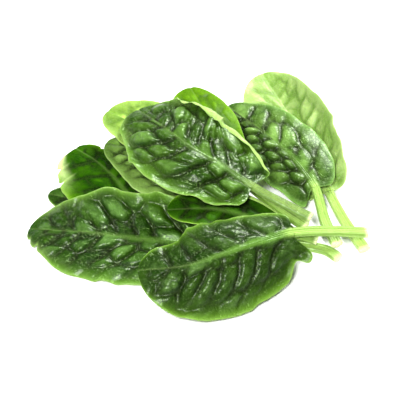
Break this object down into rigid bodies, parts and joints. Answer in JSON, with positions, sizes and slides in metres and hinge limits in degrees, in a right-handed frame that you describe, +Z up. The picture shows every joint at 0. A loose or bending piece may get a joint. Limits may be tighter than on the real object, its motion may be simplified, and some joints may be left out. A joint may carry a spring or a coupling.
{
  "type": "spinach bunch",
  "caption": "Loose bunch of savoy spinach lying flat: broad puckered leaves on ribbed stalks, fanned out from where the cut stalk ends gather.",
  "frame": {"origin": "on the table top, under the middle of the pile's outline", "axes": "+X towards the cut ends of the stalks that stick out furthest, +Y towards the back leaves, +Z up out of the table"},
  "size_m": [0.202, 0.2024, 0.0492],
  "materials": {
    "leaf_deep_green": "satin",
    "leaf_mid_green": "satin",
    "leaf_pale_green": "satin"
  },
  "bodies": {
    "root": {"right_back_leaf": "leaf_pale_green", "right_mid_leaf": "leaf_deep_green", "left_under_leaf": "leaf_deep_green", "left_back_leaf": "leaf_mid_green", "left_mid_leaf": "leaf_deep_green", "left_top_leaf": "leaf_pale_green", "back_small_leaf": "leaf_mid_green", "left_leaf": "leaf_deep_green", "middle_under_leaf": "leaf_mid_green", "top_leaf": "leaf_deep_green", "front_leaf": "leaf_deep_green"}
  },
  "joints": []
}
